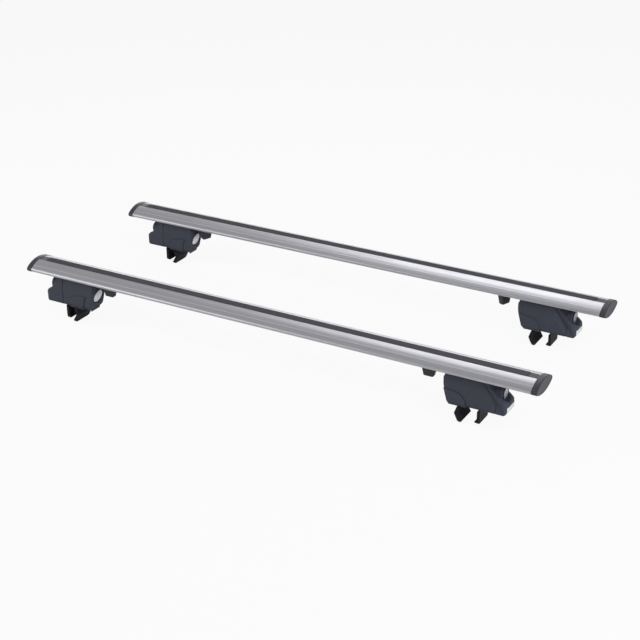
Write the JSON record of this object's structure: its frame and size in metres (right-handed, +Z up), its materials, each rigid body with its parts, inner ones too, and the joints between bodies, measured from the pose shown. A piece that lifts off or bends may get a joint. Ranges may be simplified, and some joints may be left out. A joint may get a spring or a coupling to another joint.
{
  "type": "roof rack",
  "caption": "Pair of aluminium wing-section roof bars with rubber strips, end caps and lockable clamp feet for raised side rails.",
  "frame": {"origin": "on the floor under the middle of the pair, halfway between the bars and halfway along them", "axes": "+X along the bars to the right, +Y from the front bar to the rear bar, +Z up"},
  "size_m": [1.226, 0.4632, 0.1316],
  "materials": {
    "bar_aluminium": "satin, drawn along",
    "strip_rubber": "matt",
    "cap_plastic": "satin",
    "stop_plastic": "satin",
    "foot_plastic": "satin, fine grain",
    "lock_metal": "satin",
    "badge_plastic": "gloss",
    "frame_steel": "black coat",
    "jaw_steel": "black coat",
    "bolt_steel": "zinc plated",
    "pad_rubber": "matt"
  },
  "bodies": {
    "rack": {"front_bar": "bar_aluminium", "front_strip": "strip_rubber", "front_left_cap": "cap_plastic", "front_right_cap": "cap_plastic", "rear_bar": "bar_aluminium", "rear_strip": "strip_rubber", "rear_left_cap": "cap_plastic", "rear_right_cap": "cap_plastic"},
    "front_left_stop": {"front_left_stop": "stop_plastic"},
    "front_left_foot": {"front_left_housing": "foot_plastic", "front_left_outer_cover": "foot_plastic", "front_left_end_badge": "badge_plastic", "front_left_clamp_frame": "frame_steel", "front_left_slot_bolts": "bolt_steel", "front_left_outer_jaw": "jaw_steel", "front_left_outer_jaw_pad": "pad_rubber"},
    "front_left_jaw": {"front_left_inner_jaw": "jaw_steel", "front_left_inner_jaw_pad": "pad_rubber", "front_left_jaw_saddle": "foot_plastic"},
    "front_left_bolt": {"front_left_clamp_bolt": "bolt_steel"},
    "front_left_lock": {"front_left_lock_barrel": "lock_metal"},
    "front_right_stop": {"front_right_stop": "stop_plastic"},
    "front_right_foot": {"front_right_housing": "foot_plastic", "front_right_outer_cover": "foot_plastic", "front_right_end_badge": "badge_plastic", "front_right_clamp_frame": "frame_steel", "front_right_slot_bolts": "bolt_steel", "front_right_outer_jaw": "jaw_steel", "front_right_outer_jaw_pad": "pad_rubber"},
    "front_right_jaw": {"front_right_inner_jaw": "jaw_steel", "front_right_inner_jaw_pad": "pad_rubber", "front_right_jaw_saddle": "foot_plastic"},
    "front_right_bolt": {"front_right_clamp_bolt": "bolt_steel"},
    "front_right_lock": {"front_right_lock_barrel": "lock_metal"},
    "rear_left_stop": {"rear_left_stop": "stop_plastic"},
    "rear_left_foot": {"rear_left_housing": "foot_plastic", "rear_left_outer_cover": "foot_plastic", "rear_left_end_badge": "badge_plastic", "rear_left_clamp_frame": "frame_steel", "rear_left_slot_bolts": "bolt_steel", "rear_left_outer_jaw": "jaw_steel", "rear_left_outer_jaw_pad": "pad_rubber"},
    "rear_left_jaw": {"rear_left_inner_jaw": "jaw_steel", "rear_left_inner_jaw_pad": "pad_rubber", "rear_left_jaw_saddle": "foot_plastic"},
    "rear_left_bolt": {"rear_left_clamp_bolt": "bolt_steel"},
    "rear_left_lock": {"rear_left_lock_barrel": "lock_metal"},
    "rear_right_stop": {"rear_right_stop": "stop_plastic"},
    "rear_right_foot": {"rear_right_housing": "foot_plastic", "rear_right_outer_cover": "foot_plastic", "rear_right_end_badge": "badge_plastic", "rear_right_clamp_frame": "frame_steel", "rear_right_slot_bolts": "bolt_steel", "rear_right_outer_jaw": "jaw_steel", "rear_right_outer_jaw_pad": "pad_rubber"},
    "rear_right_jaw": {"rear_right_inner_jaw": "jaw_steel", "rear_right_inner_jaw_pad": "pad_rubber", "rear_right_jaw_saddle": "foot_plastic"},
    "rear_right_bolt": {"rear_right_clamp_bolt": "bolt_steel"},
    "rear_right_lock": {"rear_right_lock_barrel": "lock_metal"}
  },
  "joints": [
    {"name": "front_left_stop_turn", "type": "hinge", "parent": "rack", "child": "front_left_stop", "pos_m": [-0.4105, -0.191, 0.101], "axis": [0, 0, 1], "range_deg": [0, 90]},
    {"name": "front_left_foot_slide", "type": "slide", "parent": "rack", "child": "front_left_foot", "axis": [-1, 0, 0], "range_m": [-0.011, 0.022]},
    {"name": "front_left_bolt_turn", "type": "hinge", "parent": "front_left_foot", "child": "front_left_bolt", "pos_m": [-0.541, -0.191, 0.068], "axis": [-1, 0, 0], "range_deg": [-867, 6339]},
    {"name": "front_left_jaw_slide", "type": "slide", "parent": "front_left_foot", "child": "front_left_jaw", "axis": [1, 0, 0], "range_m": [-0.003, 0.022]},
    {"name": "front_left_lock_turn", "type": "hinge", "parent": "front_left_foot", "child": "front_left_lock", "pos_m": [-0.5645, -0.191, 0.0785], "axis": [-1, 0, 0], "range_deg": [0, 90]},
    {"name": "front_right_stop_turn", "type": "hinge", "parent": "rack", "child": "front_right_stop", "pos_m": [0.373, -0.191, 0.101], "axis": [0, 0, 1], "range_deg": [0, 90]},
    {"name": "front_right_foot_slide", "type": "slide", "parent": "rack", "child": "front_right_foot", "axis": [1, 0, 0], "range_m": [-0.018, 0.045]},
    {"name": "front_right_bolt_turn", "type": "hinge", "parent": "front_right_foot", "child": "front_right_bolt", "pos_m": [0.5107, -0.191, 0.068], "axis": [1, 0, 0], "range_deg": [-6051, 1155]},
    {"name": "front_right_jaw_slide", "type": "slide", "parent": "front_right_foot", "child": "front_right_jaw", "axis": [-1, 0, 0], "range_m": [-0.021, 0.004]},
    {"name": "front_right_lock_turn", "type": "hinge", "parent": "front_right_foot", "child": "front_right_lock", "pos_m": [0.5342, -0.191, 0.0785], "axis": [1, 0, 0], "range_deg": [0, 90]},
    {"name": "rear_left_stop_turn", "type": "hinge", "parent": "rack", "child": "rear_left_stop", "pos_m": [-0.4105, 0.191, 0.101], "axis": [0, 0, 1], "range_deg": [-68, 22]},
    {"name": "rear_left_foot_slide", "type": "slide", "parent": "rack", "child": "rear_left_foot", "axis": [-1, 0, 0], "range_m": [-0.005, 0.022]},
    {"name": "rear_left_bolt_turn", "type": "hinge", "parent": "rear_left_foot", "child": "rear_left_bolt", "pos_m": [-0.535, 0.191, 0.068], "axis": [-1, 0, 0], "range_deg": [-867, 6339]},
    {"name": "rear_left_jaw_slide", "type": "slide", "parent": "rear_left_foot", "child": "rear_left_jaw", "axis": [1, 0, 0], "range_m": [-0.003, 0.022]},
    {"name": "rear_left_lock_turn", "type": "hinge", "parent": "rear_left_foot", "child": "rear_left_lock", "pos_m": [-0.5585, 0.191, 0.0785], "axis": [-1, 0, 0], "range_deg": [0, 90]},
    {"name": "rear_right_stop_turn", "type": "hinge", "parent": "rack", "child": "rear_right_stop", "pos_m": [0.373, 0.191, 0.101], "axis": [0, 0, 1], "range_deg": [-68, 22]},
    {"name": "rear_right_foot_slide", "type": "slide", "parent": "rack", "child": "rear_right_foot", "axis": [1, 0, 0], "range_m": [-0.018, 0.045]},
    {"name": "rear_right_bolt_turn", "type": "hinge", "parent": "rear_right_foot", "child": "rear_right_bolt", "pos_m": [0.5107, 0.191, 0.068], "axis": [1, 0, 0], "range_deg": [-5187, 2019]},
    {"name": "rear_right_jaw_slide", "type": "slide", "parent": "rear_right_foot", "child": "rear_right_jaw", "axis": [-1, 0, 0], "range_m": [-0.018, 0.007]},
    {"name": "rear_right_lock_turn", "type": "hinge", "parent": "rear_right_foot", "child": "rear_right_lock", "pos_m": [0.5342, 0.191, 0.0785], "axis": [1, 0, 0], "range_deg": [0, 90]}
  ],
  "couplings": [
    {"joint": "front_left_bolt_turn", "follows": "front_left_jaw_slide", "rad_per_m": 5026.5},
    {"joint": "front_right_bolt_turn", "follows": "front_right_jaw_slide", "rad_per_m": 5026.5},
    {"joint": "rear_left_bolt_turn", "follows": "rear_left_jaw_slide", "rad_per_m": 5026.5},
    {"joint": "rear_right_bolt_turn", "follows": "rear_right_jaw_slide", "rad_per_m": 5026.5}
  ]
}
